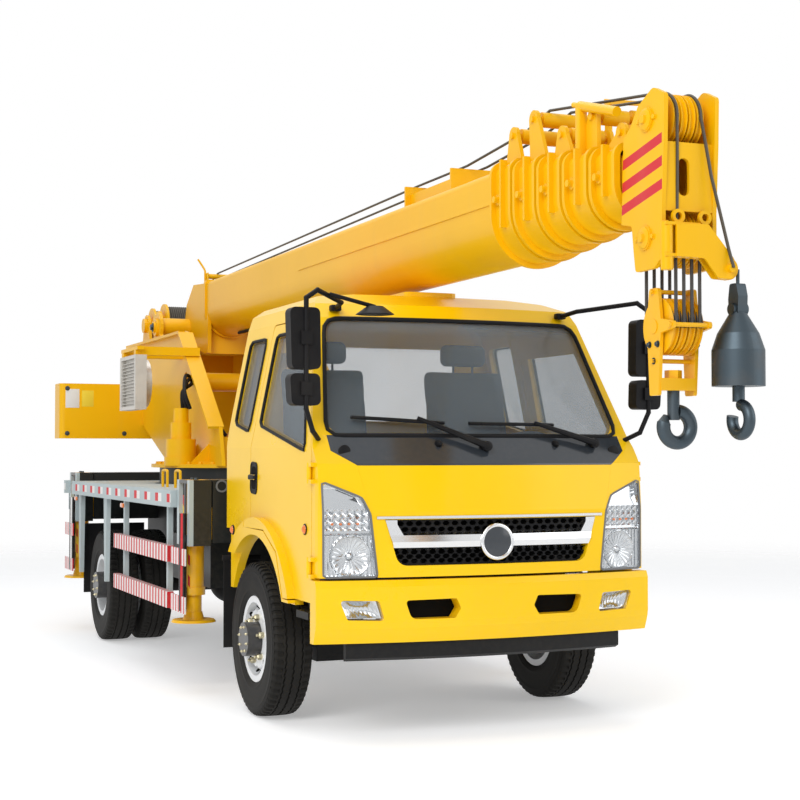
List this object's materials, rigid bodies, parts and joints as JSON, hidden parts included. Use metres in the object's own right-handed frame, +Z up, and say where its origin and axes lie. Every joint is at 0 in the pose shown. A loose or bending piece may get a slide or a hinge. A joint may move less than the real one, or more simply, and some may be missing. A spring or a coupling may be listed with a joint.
{
  "type": "light truck crane",
  "caption": "Yellow two-axle cab-over truck with a slewing turret, telescopic boom, outriggers and hooks for lifting loads.",
  "frame": {"origin": "on the ground under the middle of the whole length, on the centre line", "axes": "+X forwards, +Y to the left, +Z up"},
  "size_m": [8.013, 2.256, 2.907],
  "materials": {
    "chassis_black": "black chassis paint",
    "engine_iron": "cast iron and steel",
    "dark_box": "dark grey paint",
    "yellow_paint": "glossy yellow crane enamel",
    "tinted_glass": "lightly tinted glass",
    "gloss_black": "gloss black panel",
    "black_plastic": "moulded black plastic",
    "chrome_trim": "bright trim",
    "lamp_clear": "clear lamp lens",
    "seat_cloth": "dark woven seat cloth",
    "deck_grey": "pale grey green deck paint",
    "guard_white": "white paint with red bands",
    "rim_silver": "silver wheel paint",
    "tyre_black": "black tyre rubber",
    "cooler_alu": "finned aluminium",
    "steel": "bare steel",
    "rod_chrome": "hard chrome rod"
  },
  "bodies": {
    "chassis": {"frame": "chassis_black", "front_axle": "chassis_black", "rear_axle": "chassis_black", "engine": "engine_iron", "cab_floor": "dark_box", "cab_shell": "yellow_paint", "cab_glass": "tinted_glass", "front_panel": "yellow_paint", "cowl": "gloss_black", "grille": "black_plastic", "grille_trim": "chrome_trim", "lamps": "lamp_clear", "bumper": "yellow_paint", "wheel_arches": "yellow_paint", "mirrors": "black_plastic", "seats": "seat_cloth", "dashboard": "black_plastic", "deck": "deck_grey", "side_guards": "guard_white", "outrigger_boxes": "dark_box", "tanks": "chassis_black", "pedestal": "deck_grey"},
    "door_right": {"door_right": "yellow_paint", "door_right_glass": "tinted_glass"},
    "door_left": {"door_left": "yellow_paint", "door_left_glass": "tinted_glass"},
    "knuckle_right": {"knuckle_right": "chassis_black"},
    "knuckle_left": {"knuckle_left": "chassis_black"},
    "wheel_front_right": {"rim_front_right": "rim_silver", "tyre_front_right": "tyre_black"},
    "wheel_front_left": {"rim_front_left": "rim_silver", "tyre_front_left": "tyre_black"},
    "wheels_rear_right": {"rim_rear_right": "rim_silver", "tyres_rear_right": "tyre_black"},
    "wheels_rear_left": {"rim_rear_left": "rim_silver", "tyres_rear_left": "tyre_black"},
    "turret": {"turret": "yellow_paint", "counterweight": "yellow_paint", "oil_cooler": "cooler_alu", "winches": "steel"},
    "boom_base": {"boom_base": "yellow_paint"},
    "boom_second": {"boom_second": "yellow_paint"},
    "boom_third": {"boom_third": "yellow_paint"},
    "boom_fourth": {"boom_fourth": "yellow_paint"},
    "boom_fifth": {"boom_fifth": "yellow_paint"},
    "boom_sixth": {"boom_sixth": "yellow_paint"},
    "luff_barrel": {"luff_barrel": "yellow_paint"},
    "luff_rod": {"luff_rod": "rod_chrome"},
    "hook_block": {"hook_block": "yellow_paint", "hook": "steel"},
    "ball_hook": {"ball_hook": "steel"},
    "beam_front_right": {"beam_front_right": "yellow_paint"},
    "leg_front_right": {"leg_front_right": "yellow_paint"},
    "beam_front_left": {"beam_front_left": "yellow_paint"},
    "leg_front_left": {"leg_front_left": "yellow_paint"},
    "beam_rear_right": {"beam_rear_right": "yellow_paint"},
    "leg_rear_right": {"leg_rear_right": "yellow_paint"},
    "beam_rear_left": {"beam_rear_left": "yellow_paint"},
    "leg_rear_left": {"leg_rear_left": "yellow_paint"}
  },
  "joints": [
    {"name": "steer_right", "type": "hinge", "parent": "chassis", "child": "knuckle_right", "pos_m": [1.1325, -0.66, 0.402], "axis": [0, 0, 1], "range_deg": [-35, 35]},
    {"name": "steer_left", "type": "hinge", "parent": "chassis", "child": "knuckle_left", "pos_m": [1.1325, 0.66, 0.402], "axis": [0, 0, 1], "range_deg": [-35, 35]},
    {"name": "roll_front_right", "type": "hinge", "parent": "knuckle_right", "child": "wheel_front_right", "pos_m": [1.1325, -0.82, 0.402], "axis": [0, 1, 0], "continuous": true},
    {"name": "roll_front_left", "type": "hinge", "parent": "knuckle_left", "child": "wheel_front_left", "pos_m": [1.1325, 0.82, 0.402], "axis": [0, 1, 0], "continuous": true},
    {"name": "roll_rear_right", "type": "hinge", "parent": "chassis", "child": "wheels_rear_right", "pos_m": [-2.4675, -0.77, 0.402], "axis": [0, 1, 0], "continuous": true},
    {"name": "roll_rear_left", "type": "hinge", "parent": "chassis", "child": "wheels_rear_left", "pos_m": [-2.4675, 0.77, 0.402], "axis": [0, 1, 0], "continuous": true},
    {"name": "door_right_swing", "type": "hinge", "parent": "chassis", "child": "door_right", "pos_m": [1.9615, -0.894, 1], "axis": [0, 0, 1], "range_deg": [0, 65]},
    {"name": "door_left_swing", "type": "hinge", "parent": "chassis", "child": "door_left", "pos_m": [1.9615, 0.894, 1], "axis": [0, 0, -1], "range_deg": [0, 65]},
    {"name": "beam_front_right_out", "type": "slide", "parent": "chassis", "child": "beam_front_right", "axis": [0, -1, 0], "range_m": [0, 0.95]},
    {"name": "leg_front_right_down", "type": "slide", "parent": "beam_front_right", "child": "leg_front_right", "axis": [0, 0, -1], "range_m": [0, 0.46]},
    {"name": "beam_front_left_out", "type": "slide", "parent": "chassis", "child": "beam_front_left", "axis": [0, 1, 0], "range_m": [0, 0.95]},
    {"name": "leg_front_left_down", "type": "slide", "parent": "beam_front_left", "child": "leg_front_left", "axis": [0, 0, -1], "range_m": [0, 0.46]},
    {"name": "beam_rear_right_out", "type": "slide", "parent": "chassis", "child": "beam_rear_right", "axis": [0, -1, 0], "range_m": [0, 0.95]},
    {"name": "leg_rear_right_down", "type": "slide", "parent": "beam_rear_right", "child": "leg_rear_right", "axis": [0, 0, -1], "range_m": [0, 0.46]},
    {"name": "beam_rear_left_out", "type": "slide", "parent": "chassis", "child": "beam_rear_left", "axis": [0, 1, 0], "range_m": [0, 0.95]},
    {"name": "leg_rear_left_down", "type": "slide", "parent": "beam_rear_left", "child": "leg_rear_left", "axis": [0, 0, -1], "range_m": [0, 0.46]},
    {"name": "slew", "type": "hinge", "parent": "chassis", "child": "turret", "pos_m": [-1.8675, 0, 1.295], "axis": [0, 0, 1], "continuous": true},
    {"name": "luff", "type": "hinge", "parent": "turret", "child": "boom_base", "pos_m": [-3.0175, 0, 2.36], "axis": [0, -1, 0], "range_deg": [0, 75]},
    {"name": "extend_second", "type": "slide", "parent": "boom_base", "child": "boom_second", "axis": [1, 0, 0], "range_m": [0, 3.8]},
    {"name": "extend_third", "type": "slide", "parent": "boom_second", "child": "boom_third", "axis": [1, 0, 0], "range_m": [0, 3.8]},
    {"name": "extend_fourth", "type": "slide", "parent": "boom_third", "child": "boom_fourth", "axis": [1, 0, 0], "range_m": [0, 3.8]},
    {"name": "extend_fifth", "type": "slide", "parent": "boom_fourth", "child": "boom_fifth", "axis": [1, 0, 0], "range_m": [0, 3.8]},
    {"name": "extend_sixth", "type": "slide", "parent": "boom_fifth", "child": "boom_sixth", "axis": [1, 0, 0], "range_m": [0, 3.8]},
    {"name": "luff_barrel_tilt", "type": "hinge", "parent": "turret", "child": "luff_barrel", "pos_m": [-2.1675, 0, 1.45], "axis": [0, -1, 0], "range_deg": [0, 68.8]},
    {"name": "luff_rod_out", "type": "slide", "parent": "luff_barrel", "child": "luff_rod", "axis": [0.9381, 0, 0.3464], "range_m": [0, 1.48721]},
    {"name": "hook_swing", "type": "hinge", "parent": "boom_sixth", "child": "hook_block", "pos_m": [3.7525, 0, 2.215], "axis": [0, 1, 0], "range_deg": [-4, 75]},
    {"name": "ball_swing", "type": "hinge", "parent": "boom_sixth", "child": "ball_hook", "pos_m": [3.9025, 0.149, 2.09], "axis": [0, 1, 0], "range_deg": [-4, 75]}
  ],
  "couplings": [
    {"joint": "extend_third", "follows": "extend_second", "ratio": 1},
    {"joint": "extend_fourth", "follows": "extend_second", "ratio": 1},
    {"joint": "extend_fifth", "follows": "extend_second", "ratio": 1},
    {"joint": "extend_sixth", "follows": "extend_second", "ratio": 1},
    {"joint": "luff_barrel_tilt", "follows": "luff", "ratio": 0.91732},
    {"joint": "luff_rod_out", "follows": "luff", "m_per_rad": 1.1361},
    {"joint": "steer_left", "follows": "steer_right", "ratio": 1}
  ]
}
